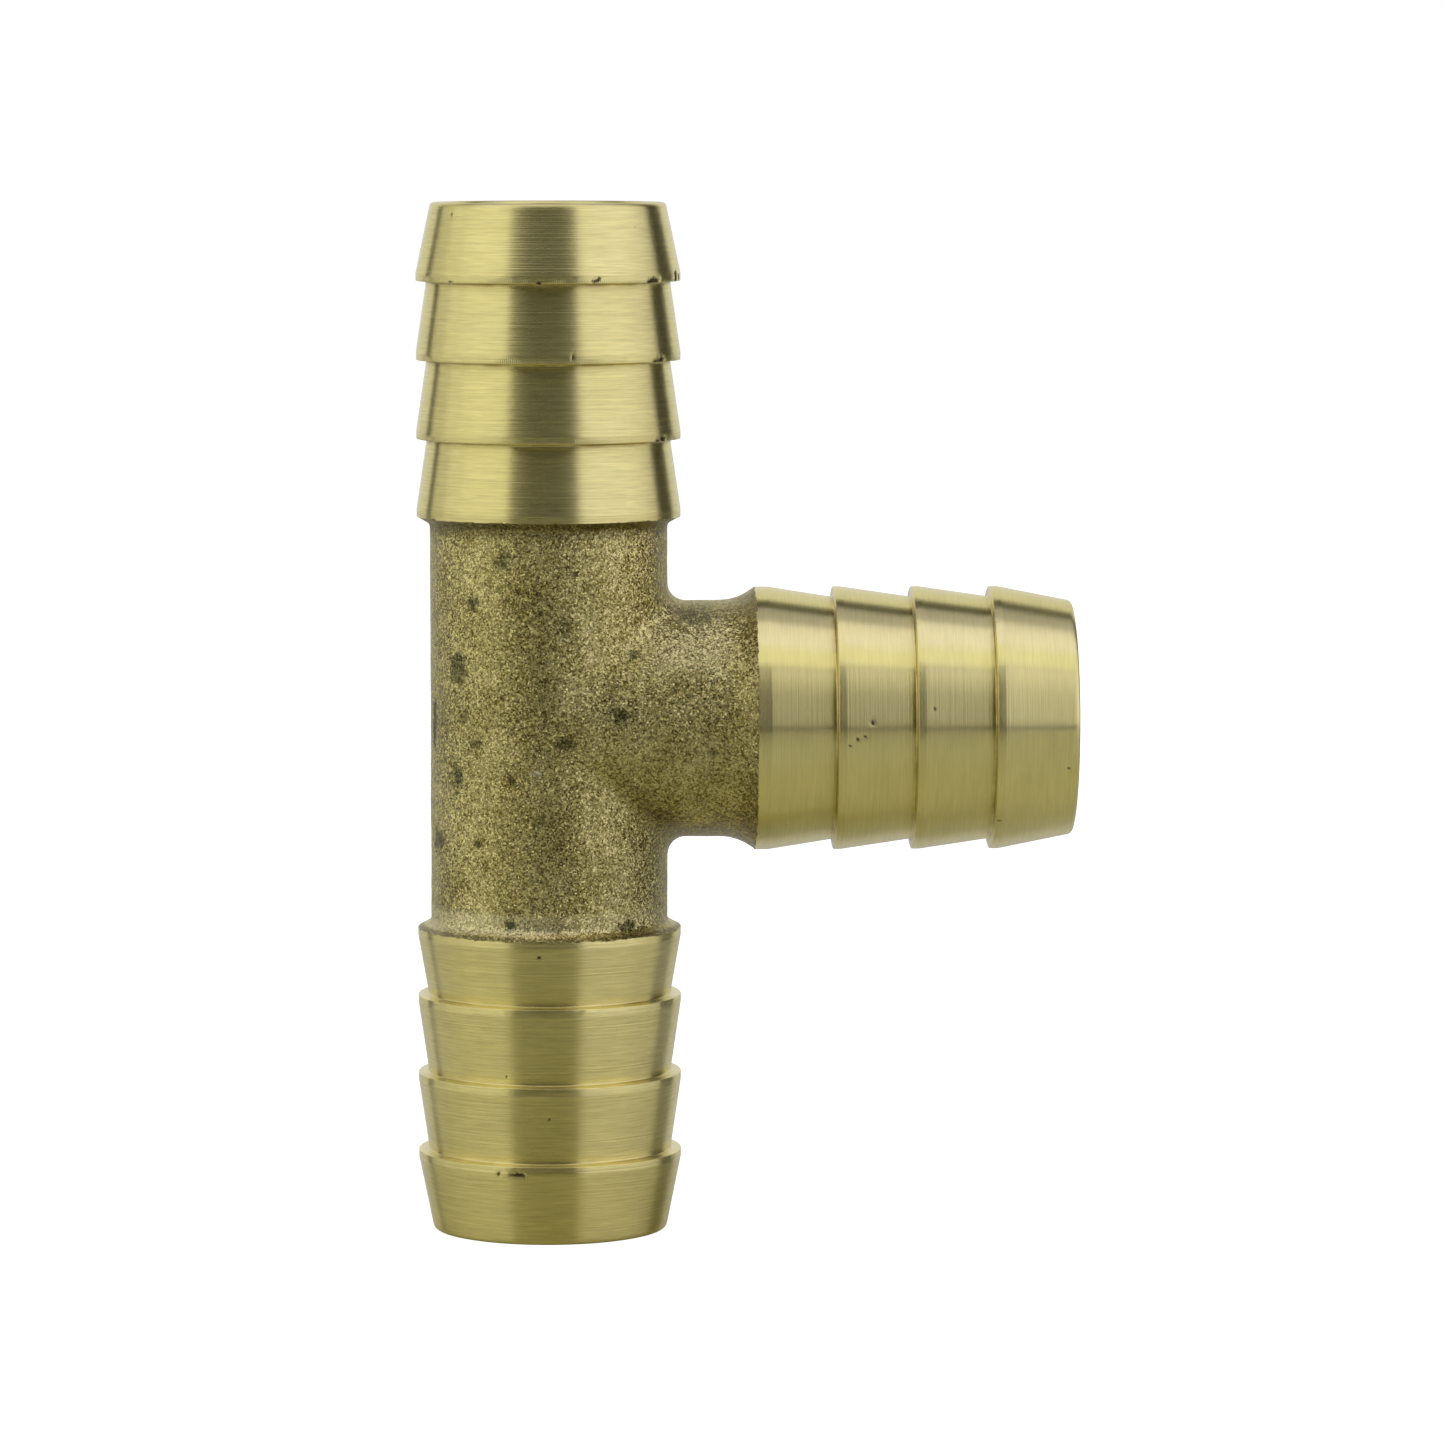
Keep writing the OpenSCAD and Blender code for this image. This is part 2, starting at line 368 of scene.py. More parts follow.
def on_cast_surface(points):
    """Points moved onto the smooth body: run, branch, and the rolling-ball fillet in the two corners."""
    x, y, z = points.T
    out = points.copy()
    run_r = np.hypot(x, y)
    branch_r = np.hypot(y, z)
    run_target = np.where(z < 0,
                          neck_radius(-z, BODY_BOTTOM, RUN_FLARE),
                          neck_radius(z, BODY_TOP, RUN_FLARE))
    branch_target = neck_radius(x, BODY_SIDE, BRANCH_FLARE)
    on_branch = x > np.abs(z)
    run_scale = np.where(on_branch, 1, run_target / np.maximum(run_r, 1e-9))
    branch_scale = np.where(on_branch, branch_target / np.maximum(branch_r, 1e-9), 1)
    out[:, 0] = x * run_scale
    out[:, 1] = y * run_scale * branch_scale
    out[:, 2] = z * branch_scale

    # the ball touches both necks; its centre moves on an ellipse at an angle round them
    ball_r = NECK_R + CORNER_FILLET
    up = np.abs(z)
    angle = np.arcsin(np.clip(y / (NECK_R * 1.02), -0.999, 0.999))
    for _ in range(NEWTON_STEPS):
        sine, cosine = np.sin(angle), np.cos(angle)
        value = sine * (x + up) - y * cosine - ball_r * sine * cosine
        slope = cosine * (x + up) + y * sine - ball_r * np.cos(2 * angle)
        angle = np.clip(angle - value / np.where(np.abs(slope) < 1e-6, 1e-6, slope), -1.56, 1.56)
    sine, cosine = np.sin(angle), np.cos(angle)
    zero = np.zeros_like(sine)
    to_run = np.stack([-cosine, -sine, zero], 1)
    to_branch = np.stack([zero, -sine, -cosine], 1)
    centre = ball_r * np.stack([cosine, sine, cosine], 1)
    away = np.stack([x, y, up], 1) - centre
    overlap = sine ** 2
    spread = np.maximum(1 - overlap ** 2, 1e-6)
    toward_run = np.einsum("ij,ij->i", away, to_run)
    toward_branch = np.einsum("ij,ij->i", away, to_branch)
    run_share = (toward_run - overlap * toward_branch) / spread
    branch_share = (toward_branch - overlap * toward_run) / spread
    distance = np.linalg.norm(away, axis=1)
    in_fillet = (x > 0) & (run_share > 0) & (branch_share > 0) & (distance < 3 * CORNER_FILLET)
    on_ball = centre + away * (CORNER_FILLET / np.maximum(distance, 1e-9))[:, None]
    on_ball[:, 2] *= np.where(z < 0, -1, 1)
    out[in_fillet] = on_ball[in_fillet]
    return out


def cast_relief(points):
    """Height of the sand-cast skin over the smooth body, and its grain from 0 (pit) to 1 (peak)."""
    waves = WAVE_HEIGHT * smooth_noise(points, WAVE_SIZE)
    lumps = LUMP_HEIGHT * smooth_noise(points, LUMP_SIZE, 1)
    grain = 1 - grain_noise(points, GRAIN_SIZE) / 0.9
    fine = 0.5 * smooth_noise(points, 0.3 * MM, 2)
    peak = np.clip(0.5 * (grain + 0.35) + 0.5 * fine + 0.1, 0, 1)
    return waves + lumps + GRAIN_HEIGHT * (peak - 0.5) - SKIN_SINK, peak


def stains_and_painted_light(points):
    """Darkness from -1 to 1 on each point of the casting: real spots, with painted shade and a painted
    highlight from the wide faint patches.
    """
    rng = np.random.default_rng(11)
    spots = [(x, z, w, h, dark, -1) for x, z, w, h, dark in FRONT_STAINS_AND_PAINTED_LIGHT]
    for _ in range(BACK_STAINS):
        size = rng.uniform(0.25, 0.7)
        spots.append((rng.uniform(-9, 14), rng.uniform(-15, 15), size, size * rng.uniform(0.7, 1.6),
                      rng.uniform(0.4, 1.0), 1))
    ragged = 0.6 * smooth_noise(points, 0.4 * MM, 6) + 0.4 * smooth_noise(points, 0.9 * MM, 7)
    total = np.zeros(len(points))
    for x, z, half_width, half_height, dark, side in spots:
        across = (points[:, 0] / MM - x) / half_width
        up = (points[:, 2] / MM - z) / half_height
        reach = np.hypot(across, up) + ragged
        share = np.where(points[:, 1] * side > 0, 1 - smoothstep(0.5, 1.4, reach), 0)
        total = np.where(share * abs(dark) > np.abs(total), share * dark, total)
    return total


def edge_shade_and_wear(points):
    """How far the casting is from its usual colour by the ends and corners: 1 is painted shade, -1 rubbed
    bright.
    """
    x, _, z = points.T
    # painted shade in rings where the tails meet the casting: below the top tail, over the bottom tail and by
    # the branch's tail
    painted_shade = 1 - smoothstep(0.8 * MM, 1.7 * MM, BODY_TOP - z)
    painted_shade = np.maximum(painted_shade, 1 - smoothstep(0.15 * MM, 0.35 * MM, BODY_BOTTOM + z))
    painted_shade = np.maximum(painted_shade, 0.6 * (1 - smoothstep(0.3 * MM, 2.0 * MM, BODY_SIDE - x)))
    # painted shade: a dark line in the lower corner between run and branch, and on the branch's underside
    saddle = np.abs(x + z - 0.9 * MM) / math.sqrt(2)
    in_saddle = smoothstep(3 * MM, 8 * MM, x) * (1 - smoothstep(0.5 * MM, 1.6 * MM, saddle)) * (z < 0)
    painted_shade = np.maximum(painted_shade, 0.75 * in_saddle)
    under_branch = smoothstep(0.80 * NECK_R, 0.97 * NECK_R, -z) * smoothstep(NECK_R, NECK_R + 2 * MM, x)
    painted_shade = np.maximum(painted_shade, 0.6 * under_branch)
    # the bottom flare is rubbed bright, most on its left
    rubbed = 1 - smoothstep(0.6 * MM, 1.3 * MM, np.abs(BODY_BOTTOM + z - 0.9 * MM))
    rubbed *= 1 - 0.65 * smoothstep(-2 * MM, 4 * MM, x)
    return painted_shade - rubbed * (1 - painted_shade)


def cut_flat(bm, point, normal):
    """Keep what lies behind the plane, closed by one flat face."""
    geom = bm.verts[:] + bm.edges[:] + bm.faces[:]
    cut = bmesh.ops.bisect_plane(bm, geom=geom, plane_co=point, plane_no=normal, clear_outer=True)
    edges = [e for e in cut["geom_cut"] if isinstance(e, bmesh.types.BMEdge)]
    bmesh.ops.contextual_create(bm, geom=edges)


def cast_body(voxel=0.173 * MM):
    """The casting: necks merged into one even mesh, moved onto the true surface, roughened, cut and bored."""
    overrun = 0.8 * MM
    run = solid_neck((BODY_BOTTOM, BODY_TOP), (RUN_FLARE, RUN_FLARE), overrun)
    branch = solid_neck((0, BODY_SIDE), (BRANCH_FLARE, BRANCH_FLARE), overrun)
    bmesh.ops.rotate(branch, cent=(0, 0, 0), verts=branch.verts,
                     matrix=Matrix.Rotation(math.pi / 2, 3, "Y"))
    blank = bpy.data.meshes.new("cast_body")
    branch_mesh = bpy.data.meshes.new("branch_blank")
    branch.to_mesh(branch_mesh)
    run.from_mesh(branch_mesh)
    run.to_mesh(blank)
    run.free()
    branch.free()
    body = link(bpy.data.objects.new("cast_body", blank))
    remesh = body.modifiers.new("even", "REMESH")
    remesh.mode = "VOXEL"
    remesh.voxel_size = voxel
    apply_modifiers(body)

    set_coordinates(body.data, on_cast_surface(coordinates(body.data)))
    points, normals = coordinates(body.data), vertex_normals(body.data)
    height, peak = cast_relief(points)
    darkness = stains_and_painted_light(points)
    height -= STAIN_DEPTH * darkness
    set_coordinates(body.data, points + normals * height[:, None])
    store(body.data, "peak", peak)
    store(body.data, "stain", darkness)
    store(body.data, "tint", edge_shade_and_wear(points))

    bm = bmesh.new()
    bm.from_mesh(body.data)
    cut_flat(bm, (0, 0, BODY_TOP), (0, 0, 1))
    cut_flat(bm, (0, 0, -BODY_BOTTOM), (0, 0, -1))
    cut_flat(bm, (BODY_SIDE, 0, 0), (1, 0, 0))
    bmesh.ops.recalc_face_normals(bm, faces=bm.faces)
    bm.to_mesh(body.data)
    bm.free()
    bore(body)
    finish_mesh(body, 60)
    return body


def mark_bores(body):
    """Give the drilled faces the second and third materials."""
    short = 0.01 * MM
    for face in body.data.polygons:
        x, y, z = face.center
        if math.hypot(x, y) < BORE_R * 1.01 and abs(z) < min(BODY_TOP, BODY_BOTTOM) - short:
            face.material_index = 1
        elif math.hypot(y, z) < BORE_R * 1.01 and 0 < x < BODY_SIDE - short:
            face.material_index = 2


def apply_modifiers(obj):
    graph = bpy.context.evaluated_depsgraph_get()
    mesh = bpy.data.meshes.new_from_object(obj.evaluated_get(graph))
    obj.modifiers.clear()
    obj.data = mesh


def bore(body):
    """Drill the run and the branch."""
    margin = 1 * MM
    drills = [
        ("run", BODY_TOP + BODY_BOTTOM + 2 * margin,
         Matrix.Translation((0, 0, (BODY_TOP - BODY_BOTTOM) / 2))),
        ("branch", BODY_SIDE + margin,
         Matrix.Rotation(math.pi / 2, 4, "Y") @ Matrix.Translation((0, 0, (BODY_SIDE + margin) / 2))),
    ]
    for name, length, place in drills:
        bm = bmesh.new()
        bmesh.ops.create_cone(bm, cap_ends=True, segments=256, radius1=BORE_R, radius2=BORE_R,
                              depth=length)
        bmesh.ops.transform(bm, matrix=place, verts=bm.verts)
        mesh = bpy.data.meshes.new("drill_" + name)
        bm.to_mesh(mesh)
        bm.free()
        drill = link(bpy.data.objects.new("drill_" + name, mesh))
        cut = body.modifiers.new("bore", "BOOLEAN")
        cut.object = drill
        cut.operation = "DIFFERENCE"
        cut.solver = "EXACT"
        apply_modifiers(body)
        bpy.data.objects.remove(drill)


# ================================================================ materials

CHATTER_COUNT = 400                # tool chatter waves round a crest
CHATTER_BUMP = 0.006 * MM
LINE_BUMP = 0.018 * MM
SKIN_REACH = 0.18 * MM             # how far cast skin runs up the machined base
GRAINS_PER_METRE = 7800
FACET_TILT = 0.60                  # slope of the steepest grain facets
CRUMB_BUMP = 0.024 * MM

# noise scales per metre: twice across the axis, then along it
LINE_SCALE = (70, 70, 12000)
RIDGE_SCALE = (25, 25, 6500)
STREAK_SCALE = (420, 420, 7500)
DRIFT_SCALE = (220, 220, 420)
TONE_SCALE = (110, 110, 60)
BORE_LINES = 0.7                   # strength of the lines in the drilled bores, 1 being the tails'

# Roughness stays above 0.274: a smoother metal loses its finest lines in the renderer's denoiser.
TURNED_ROUGHNESS = (0.277, 0.293)
CAST_ROUGHNESS = (0.275, 0.36)

# darkest and lightest tone of turned brass, of the casting's pits and of its peaks; the pits' dark tones are
# partly painted shade, and the peaks' pale tones partly painted glints
TURNED_TONES = (0.81, 0.70, 0.25, 1), (0.90, 0.805, 0.35, 1)
PIT_TONES = (0.152, 0.112, 0.013, 1), (0.220, 0.174, 0.037, 1)
PEAK_TONES = (0.83, 0.71, 0.27, 1), (0.92, 0.82, 0.365, 1)
# brown of the painted shade in the corners under the crests
TARNISH_AND_SHADE = (0.36, 0.25, 0.08, 1)
DIRT = (0.085, 0.058, 0.036, 1)
# colour of the painted shade along the joins, in the saddle and under the branch
SHADED_SKIN = (0.15, 0.12, 0.045, 1)
RUBBED_SKIN = (0.95, 0.86, 0.48, 1)
# pale spots, and the painted highlight on the branch's top
PALE_SPOT_AND_HIGHLIGHT = (0.85, 0.78, 0.55, 1)
UNDER_STAIN_AND_SHADE = (0.13, 0.15, 0.13)   # share of the colour that a full dark spot or full painted shade leaves


class Nodes:
    """Short calls for building a node tree."""

    def __init__(self, tree):
        self.tree = tree
        tree.nodes.clear()

    def add(self, kind, **settings):
        node = self.tree.nodes.new(kind)
        for key, value in settings.items():
            if key in node.inputs:
                self.set(node.inputs[key], value)
            else:
                setattr(node, key, value)
        return node

    def set(self, socket, value):
        """Link a socket, or write a plain value."""
        if isinstance(value, bpy.types.NodeSocket):
            self.tree.links.new(value, socket)
        else:
            socket.default_value = value

    def math(self, operation, *values):
        node = self.tree.nodes.new("ShaderNodeMath")
        node.operation = operation
        for socket, value in zip(node.inputs, values):
            self.set(socket, value)
        return node.outputs[0]

    def scaled(self, vector, factors):
        node = self.tree.nodes.new("ShaderNodeVectorMath")
        node.operation = "MULTIPLY"
        self.set(node.inputs[0], vector)
        node.inputs[1].default_value = factors
        return node.outputs[0]

    def noise(self, vector, scale=1.0, detail=2.0, roughness=0.5):
        node = self.tree.nodes.new("ShaderNodeTexNoise")
        self.set(node.inputs["Vector"], vector)
        node.inputs["Scale"].default_value = scale
        node.inputs["Detail"].default_value = detail
        node.inputs["Roughness"].default_value = roughness
        return node.outputs[0]

    def noise_colour(self, vector, scale, detail):
        node = self.add("ShaderNodeTexNoise", Vector=vector, Scale=scale, Detail=detail)
        return node.outputs["Color"]

    def attribute(self, name):
        return self.add("ShaderNodeAttribute", attribute_name=name).outputs["Fac"]

    def vector(self, operation, a, b):
        node = self.tree.nodes.new("ShaderNodeVectorMath")
        node.operation = operation
        self.set(node.inputs[0], a)
        self.set(node.inputs[1], b)
        return node.outputs[0]

    def dot(self, a, b):
        node = self.tree.nodes.new("ShaderNodeVectorMath")
        node.operation = "DOT_PRODUCT"
        self.set(node.inputs[0], a)
        self.set(node.inputs[1], b)
        return node.outputs["Value"]

    def swizzled(self, vector, order):
        """The vector with its parts in another order."""
        split = self.add("ShaderNodeSeparateXYZ", Vector=vector)
        parts = [split.outputs[letter] for letter in order]
        return self.add("ShaderNodeCombineXYZ", X=parts[0], Y=parts[1], Z=parts[2]).outputs[0]

    def shaded(self, colour, factor):
        """A colour made lighter or darker by a number."""
        grey = self.add("ShaderNodeCombineXYZ", X=factor, Y=factor, Z=factor).outputs[0]
        return self.vector("MULTIPLY", colour, grey)

    def blend(self, factor, a, b):
        node = self.tree.nodes.new("ShaderNodeMix")
        node.data_type = "FLOAT"
        self.set(node.inputs[0], factor)
        self.set(node.inputs[2], a)
        self.set(node.inputs[3], b)
        return node.outputs[0]

    def mix_vector(self, factor, a, b):
        node = self.tree.nodes.new("ShaderNodeMix")
        node.data_type = "VECTOR"
        self.set(node.inputs[0], factor)
        self.set(node.inputs[4], a)
        self.set(node.inputs[5], b)
        return node.outputs[1]

    def range(self, value, from_low, from_high, to_low, to_high):
        node = self.tree.nodes.new("ShaderNodeMapRange")
        for socket, number in zip(node.inputs, (value, from_low, from_high, to_low, to_high)):
            self.set(socket, number)
        return node.outputs[0]

    def mix(self, factor, a, b):
        node = self.tree.nodes.new("ShaderNodeMix")
        node.data_type = "RGBA"
        self.set(node.inputs[0], factor)
        self.set(node.inputs[6], a)
        self.set(node.inputs[7], b)
        return node.outputs[2]

    def bump(self, height, distance, strength=1.0, normal=None):
        node = self.tree.nodes.new("ShaderNodeBump")
        self.set(node.inputs["Height"], height)
        node.inputs["Distance"].default_value = distance
        node.inputs["Strength"].default_value = strength
        if normal is not None:
            self.set(node.inputs["Normal"], normal)
        return node.outputs[0]


def new_material(name):
    material = bpy.data.materials.new(name)
    material.use_nodes = True
    return material, Nodes(material.node_tree)


def turned_look(net, axis, lines):
    """Place, colour and height of turned brass, with tool lines round the axis as strong as lines says."""
    place = net.add("ShaderNodeTexCoord").outputs["Object"]
    if axis == "X":
        place = net.swizzled(place, "ZYX")
    line = net.noise(net.scaled(place, LINE_SCALE), detail=2, roughness=0.65)
    ridge = net.noise(net.scaled(place, RIDGE_SCALE), detail=2)
    streak = net.noise(net.scaled(place, STREAK_SCALE), detail=2, roughness=0.6)
    drift = net.noise(net.scaled(place, DRIFT_SCALE), detail=3, roughness=0.6)
    tone = net.noise(net.scaled(place, TONE_SCALE), detail=2)
    height = net.math("ADD", net.math("MULTIPLY", line, 0.8), ridge)
    colour = net.mix(tone, *TURNED_TONES)
    for pattern, darker, lighter in ((line, -0.10, 0.06), (streak, -0.13, 0.10)):
        change = net.math("MULTIPLY", net.range(pattern, 0.25, 0.75, darker, lighter), lines)
        colour = net.shaded(colour, net.math("ADD", change, 1.0))
    colour = net.shaded(colour, net.range(drift, 0.3, 0.7, 0.96, 1.03))
    return place, colour, height


def tool_chatter(net, place, patchy, normal):
    """Fine ripples that the tool leaves across a crest's land, in patches."""
    split = net.add("ShaderNodeSeparateXYZ", Vector=place)
    turn = net.math("ARCTAN2", split.outputs[1], split.outputs[0])
    ripple = net.math("SINE", net.math("MULTIPLY", turn, CHATTER_COUNT))
    ripple = net.math("MULTIPLY", ripple, net.attribute("chatter"))
    ripple = net.math("MULTIPLY", ripple, net.range(patchy, 0.4, 0.6, 0.0, 1.0))
    return net.bump(ripple, CHATTER_BUMP, normal=normal)


def soiled_and_shaded(net, patchy, colour, roughness):
    """Painted shade, tarnished brown, in the corners under the crests, and dirt in the dents."""
    # painted shade in the corners under the crests, in a tarnished brown
    corner = net.math("MULTIPLY", net.attribute("corner"), net.range(patchy, 0.35, 0.65, 0.15, 0.9))
    colour = net.mix(corner, colour, TARNISH_AND_SHADE)
    dirt = net.attribute("dirt")
    colour = net.mix(net.range(dirt, 0.1, 0.75, 0.0, 0.93), colour, DIRT)
    return colour, net.math("ADD", roughness, net.math("MULTIPLY", dirt, 0.25))


def skin_on_base(net, place, patchy, colour, roughness, normal):
    """Ragged edge of the cast skin that is left along a tail's machined base."""
    peak = net.math("MULTIPLY", patchy, 0.8)
    # the 0.8 gives the cast skin here the painted shade of the joins
    cast_colour, cast_roughness, cast_normal = cast_look(net, place, peak, stain=0.0, tint=0.8)
    frill = net.noise(net.scaled(place, (1, 1, 0.2)), scale=900, detail=3, roughness=0.6)
    skin_edge = net.range(frill, 0.42, 0.72, 0.0, SKIN_REACH)
    inside = net.math("SUBTRACT", skin_edge, net.attribute("above_base"))
    skin = net.range(inside, 0.0, 0.05 * MM, 0.0, 1.0)
    return (net.mix(skin, colour, cast_colour), net.blend(skin, roughness, cast_roughness),
            net.mix_vector(skin, normal, cast_normal))


def turned_brass(name, axis="Z", is_tail=False):
    """Bright turned brass; on a tail with chatter, tarnish, dirt and cast skin along its base."""
    material, net = new_material(name)
    lines = net.attribute("lines") if is_tail else BORE_LINES
    place, colour, height = turned_look(net, axis, lines)
    roughness = net.range(net.noise(place, scale=160), 0.3, 0.7, *TURNED_ROUGHNESS)
    if is_tail:
        height = net.math("MULTIPLY", height, lines)
    normal = net.bump(height, LINE_BUMP)
    if is_tail:
        patchy = net.noise(place, scale=420, detail=3, roughness=0.6)
        normal = tool_chatter(net, place, patchy, normal)
        colour, roughness = soiled_and_shaded(net, patchy, colour, roughness)
        colour, roughness, normal = skin_on_base(net, place, patchy, colour, roughness, normal)
    tangent = net.add("ShaderNodeTangent", direction_type="RADIAL", axis=axis).outputs[0]
    shader = net.add("ShaderNodeBsdfPrincipled", **{
        "Base Color": colour, "Metallic": 1.0, "Roughness": roughness,
        "Anisotropic": 0.95, "Anisotropic Rotation": 0.25, "Tangent": tangent, "Normal": normal})
    net.add("ShaderNodeOutputMaterial", Surface=shader.outputs[0])
    return material


def cast_look(net, place, peak, stain, tint):
    """Colour, roughness and normal of sand-cast brass: glinting facets on a matt skin, whose colour holds
    painted shade and painted highlights.
    """
    wobble = net.vector("SUBTRACT", net.noise_colour(place, scale=4500, detail=2), (0.5, 0.5, 0.5))
    bent = net.vector("ADD", place, net.scaled(wobble, (0.11 * MM,) * 3))
    grain = net.add("ShaderNodeTexVoronoi", Vector=bent, Scale=GRAINS_PER_METRE)
    tilt = net.vector("SUBTRACT", grain.outputs["Color"], (0.5, 0.5, 0.5))
    inside = net.vector("SUBTRACT", bent, grain.outputs["Position"])
    facet = net.math("MULTIPLY", net.dot(inside, tilt), FACET_TILT)
    crumb = net.noise(place, scale=7600, detail=2, roughness=0.6)
    normal = net.bump(facet, 1.0)
    normal = net.bump(crumb, CRUMB_BUMP, normal=normal)

    fleck = net.add("ShaderNodeSeparateColor", Color=grain.outputs["Color"]).outputs[1]
    height = net.math("ADD", net.math("MULTIPLY", peak, 0.35), net.math("MULTIPLY", crumb, 0.65))
    height = net.math("ADD", height, net.math("MULTIPLY", fleck, 0.4))
    patch = net.noise(place, scale=300, detail=4, roughness=0.65)
    height = net.math("ADD", height, net.range(patch, 0.3, 0.7, -0.07, 0.07))
    # pits dark and peaks pale: grain colour and dirt, partly painted shade in the pits and painted glints on
    # the peaks
    pits = net.mix(patch, *PIT_TONES)
    peaks = net.mix(patch, *PEAK_TONES)
    colour = net.mix(net.range(height, 0.48, 0.92, 0.0, 1.0), pits, peaks)
    # painted shade along the joins and under the branch, mottled by the crumb noise
    painted_shade = net.range(tint, 0.0, 1.0, 0.0, 1.0)
    painted_shade = net.math("MULTIPLY", painted_shade, net.range(crumb, 0.35, 0.65, 0.85, 0.35))
    colour = net.mix(painted_shade, colour, SHADED_SKIN)
    colour = net.mix(net.range(tint, -1.0, 0.0, 0.45, 0.0), colour, RUBBED_SKIN)
    # dark spots and painted shade darken the colour; pale spots and the painted highlight lighten it
    stained_and_shaded = net.vector("MULTIPLY", colour, UNDER_STAIN_AND_SHADE)
    colour = net.mix(net.range(stain, 0.0, 1.0, 0.0, 0.95), colour, stained_and_shaded)
    colour = net.mix(net.range(stain, -1.0, 0.0, 0.9, 0.0), colour, PALE_SPOT_AND_HIGHLIGHT)
    roughness = net.range(crumb, 0.3, 0.7, *CAST_ROUGHNESS)
    return colour, roughness, normal


def cast_brass():
    """Dull sand-cast brass skin with fine glinting grains and dark spots; its colour also holds painted shade
    and painted highlights.
    """
    material, net = new_material("cast_brass")
    place = net.add("ShaderNodeTexCoord").outputs["Object"]
    colour, roughness, normal = cast_look(
        net, place, net.attribute("peak"), net.attribute("stain"), net.attribute("tint"))
    shader = net.add("ShaderNodeBsdfPrincipled", **{
        "Base Color": colour, "Metallic": 1.0, "Roughness": roughness, "Normal": normal})
    net.add("ShaderNodeOutputMaterial", Surface=shader.outputs[0])
    return material


# ================================================================ the object

upper_crest = mounts["upper_hose_barb"]["pos_m"][2] - LAND / 2
lower_crest = -mounts["lower_hose_barb"]["pos_m"][2] - LAND / 2
branch_crest = mounts["branch_hose_barb"]["pos_m"][0] - LAND / 2

brass = turned_brass("turned_brass", is_tail=True)
mark_rng = np.random.default_rng(5)


def add_tail(name, node, base, end, first_crest, turn, marks, **finish):
    marks = marks + scattered_marks(mark_rng)
    tail = turned_tail(name, base, end, first_crest, turn, marks, **finish)
    tail.data.materials.append(brass)
    tail.matrix_world = turn
    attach(tail, "root")
    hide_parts(node)


add_tail("upper_tail", "upper_hose_tail", BODY_TOP, TOP_END, upper_crest,
         Matrix.Identity(4), UPPER_MARKS,
         base_land=LAND, chatter=1.0, tarnish=1.0, lines=1.0)
add_tail("lower_tail", "lower_hose_tail", BODY_BOTTOM, BOTTOM_END, lower_crest,
         Matrix.Rotation(math.pi, 4, "X"), LOWER_MARKS,
         base_land=LAND, chatter=0.1, tarnish=0.25, lines=1.0)
add_tail("branch_tail", "branch_hose_tail", BODY_SIDE, BRANCH_END, branch_crest,
         Matrix.Rotation(math.pi / 2, 4, "Y"), BRANCH_MARKS,
         base_land=1.05 * MM, chatter=0.3, tarnish=0.9, lines=0.5)

body = cast_body()
body.data.materials.clear()
body.data.materials.append(cast_brass())
body.data.materials.append(turned_brass("drilled_run", "Z"))
body.data.materials.append(turned_brass("drilled_branch", "X"))
mark_bores(body)
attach(body, "root")
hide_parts("tee_body")


# ================================================================ stage, light and camera

WHITE = (1, 1, 1, 1)
COOL = (1, 1, 1.2, 1)
COLD = (1, 1, 1.38, 1)

FLOOR_Z = -BOTTOM_END
FLOOR_HALF = 4.0
SWEEP_FRONT = -0.34                # the reflected paper ends here, towards the camera
SWEEP_Z = FLOOR_Z - 0.0005
ROOM_RADIUS = 8
SOFTBOX_DISTANCE = 0.8
BACKDROP_DISTANCE = 1.1
WALL_TOP = 0.9
TOP_Z, TOP_HALF = 0.75, 0.7

# Bearings seen from the part (0 is towards the camera, 90 to its right) from which each panel runs to
# which, and its strength.
LEFT_LIGHT = [(-36, -85, 0.94), (-85, -104, 0.83), (-104, -125, 0.66)]
RIGHT_LIGHT = [(27, 80, 1.01), (80, 95, 0.93), (95, 111, 0.8)]
# Elevations over the front horizon in the same way, strength and colour.
TOP_LIGHT = [(48, 51, 0.3, COOL), (51, 54, 0.62, COOL), (54, 72, 0.92, WHITE), (72, 99, 1.0, COLD),
             (99, 118, 0.5, COLD)]


def stage_plane(name, corners, material, camera=False, glossy=True, diffuse=True):
    plane = mesh_object(name, corners, [tuple(range(len(corners)))])
    plane.data.materials.append(material)
    plane.visible_camera = camera
    plane.visible_glossy = glossy
    plane.visible_diffuse = diffuse


def level_corners(half, front, back, z):
    return [(-half, front, z), (half, front, z), (half, back, z), (-half, back, z)]


def glow(name, strength, colour=WHITE):
    material, net = new_material(name + "_glow")
    shader = net.add("ShaderNodeEmission", Color=colour, Strength=strength)
    net.add("ShaderNodeOutputMaterial", Surface=shader.outputs[0])
    return material


def floor_material():
    """Pure white away from the part, with a faint soft shadow under it."""
    material, net = new_material("floor_white")
    place = net.add("ShaderNodeTexCoord").outputs["Object"]
    distance = net.add("ShaderNodeVectorMath", operation="LENGTH", Vector=place).outputs["Value"]
    glow_shader = net.add("ShaderNodeEmission", Strength=net.range(distance, 0.05, 0.25, 0.9, 1.0))
    matt = net.add("ShaderNodeBsdfDiffuse", Color=(0.6, 0.6, 0.6, 1))
    both = net.add("ShaderNodeAddShader")
    net.set(both.inputs[0], glow_shader.outputs[0])
    net.set(both.inputs[1], matt.outputs[0])
    net.add("ShaderNodeOutputMaterial", Surface=both.outputs[0])
    return material


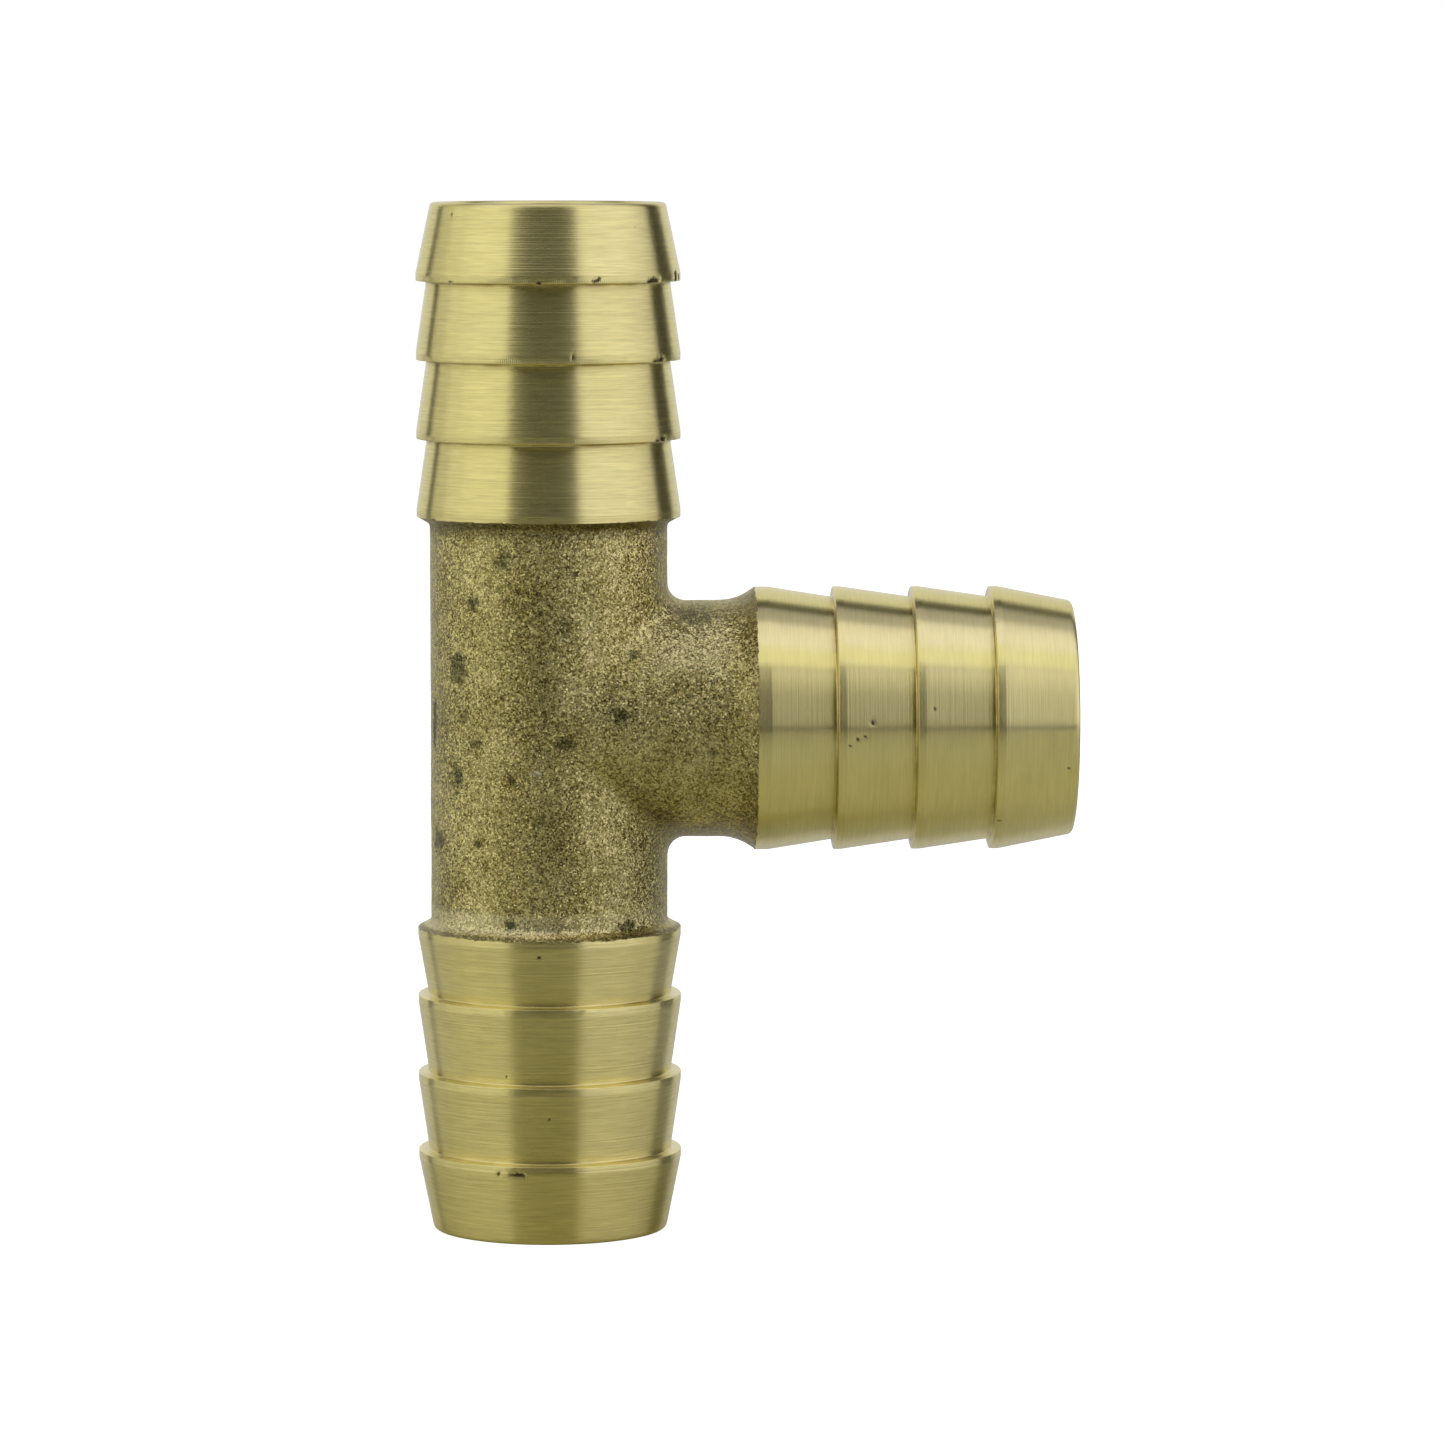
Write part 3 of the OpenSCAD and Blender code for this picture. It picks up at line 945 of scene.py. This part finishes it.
def sweep_material():
    """Paper that the brass reflects: warm, with painted shade and painted brass-coloured bounce light around
    the foot (darker and yellower), and a painted pool of light close behind the part (whiter, glowing
    faintly).
    """
    material, net = new_material("sweep_grey")
    place = net.add("ShaderNodeTexCoord").outputs["Object"]
    split = net.add("ShaderNodeSeparateXYZ", Vector=place)
    distance = net.add("ShaderNodeVectorMath", operation="LENGTH",
                     Vector=net.scaled(place, (1, 1, 0))).outputs["Value"]
    # painted shade and painted bounce light from the brass around the foot: darker and yellower
    foot_shade_and_bounce = net.range(distance, 0.025, 0.085, 1.0, 0.0)
    # painted pool of light close behind the part: whiter, and glowing faintly
    behind = net.math("MULTIPLY", net.range(split.outputs[1], -0.005, 0.03, 0.0, 1.0),
                    net.range(split.outputs[1], 0.05, 0.10, 1.0, 0.0))
    colour = net.mix(foot_shade_and_bounce, (0.87, 0.87, 0.66, 1), (0.74, 0.72, 0.42, 1))
    colour = net.mix(behind, colour, (0.97, 0.98, 0.93, 1))
    shader = net.add("ShaderNodeBsdfPrincipled", **{
        "Base Color": colour, "Roughness": 0.11, "IOR": 1.6, "Emission Color": colour,
        "Emission Strength": net.math("MULTIPLY", behind, 0.03)})
    net.add("ShaderNodeOutputMaterial", Surface=shader.outputs[0])
    return material


def ground_point(azimuth, distance):
    """Point on the ground in a direction seen from the part: 0 is towards the camera, 90 to its right."""
    a = math.radians(azimuth)
    return distance * math.sin(a), -distance * math.cos(a)


def wall(name, bottom, top, distance, low, strength, colour=WHITE):
    """Glowing panel up to WALL_TOP, from one bearing to another along its bottom and along its top."""
    corners = [(*ground_point(bottom[0], distance), low), (*ground_point(bottom[1], distance), low),
               (*ground_point(top[1], distance), WALL_TOP), (*ground_point(top[0], distance), WALL_TOP)]
    stage_plane(name, corners, glow(name, strength, colour))


stage_plane("floor", level_corners(FLOOR_HALF, -FLOOR_HALF, FLOOR_HALF, FLOOR_Z), floor_material(),
            camera=True, glossy=False, diffuse=False)
stage_plane("sweep", level_corners(FLOOR_HALF, SWEEP_FRONT, FLOOR_HALF, SWEEP_Z), sweep_material())

for index, (start, stop, strength) in enumerate(LEFT_LIGHT):
    ends = (start, stop)
    wall(f"softbox_left_{index}", ends, ends, SOFTBOX_DISTANCE, FLOOR_Z, strength)
for index, (start, stop, strength) in enumerate(RIGHT_LIGHT):
    ends = (start, stop)
    wall(f"softbox_right_{index}", ends, ends, SOFTBOX_DISTANCE, FLOOR_Z, strength, COOL)
wall("softbox_right_front", (25, 27), (14, 27), SOFTBOX_DISTANCE, 0.40, 0.8, COOL)
wall("softbox_left_front", (-36, -34), (-36, -17), SOFTBOX_DISTANCE, 0.38, 0.95)
wall("backdrop", (138, 226), (138, 226), BACKDROP_DISTANCE, FLOOR_Z, 0.72)
for index, (start, stop, strength, colour) in enumerate(TOP_LIGHT):
    front, back = (-TOP_Z / math.tan(math.radians(elevation)) for elevation in (start, stop))
    stage_plane(f"softbox_top_{index}", level_corners(TOP_HALF, front, back, TOP_Z),
                glow(f"softbox_top_{index}", strength, colour))


def white_room():
    """Dome that only the camera sees, so that the ground ends in white and not in a horizon."""
    dome = bmesh.new()
    bmesh.ops.create_uvsphere(dome, u_segments=32, v_segments=16, radius=ROOM_RADIUS)
    mesh = bpy.data.meshes.new("white_room")
    dome.to_mesh(mesh)
    dome.free()
    room = link(bpy.data.objects.new("white_room", mesh))
    room.data.materials.append(glow("white_room", 1.0))
    for kind in ("visible_glossy", "visible_diffuse", "visible_shadow", "visible_transmission"):
        setattr(room, kind, False)


def dim_world():
    """Faint light from everywhere that no panel covers."""
    world = bpy.data.worlds.new("studio")
    bpy.context.scene.world = world
    world.use_nodes = True
    net = Nodes(world.node_tree)
    background = net.add("ShaderNodeBackground", Color=(0.03, 0.03, 0.03, 1))
    net.add("ShaderNodeOutputWorld", Surface=background.outputs[0])


white_room()
dim_world()

VIEWPOINT = (-3.9 * MM, -508.7 * MM, 47.4 * MM)
VIEW_DOWN, VIEW_TURN = math.radians(5.36), math.radians(-1.96)
camera = link(bpy.data.objects.new("camera", bpy.data.cameras.new("camera")))
camera.data.sensor_width = 36
camera.data.lens = 163.4
camera.data.clip_start = 0.01
camera.data.clip_end = 20
camera.location = VIEWPOINT
camera.rotation_euler = (math.radians(90) - VIEW_DOWN, 0, VIEW_TURN)
bpy.context.scene.camera = camera
bpy.context.scene.view_settings.view_transform = "Standard"
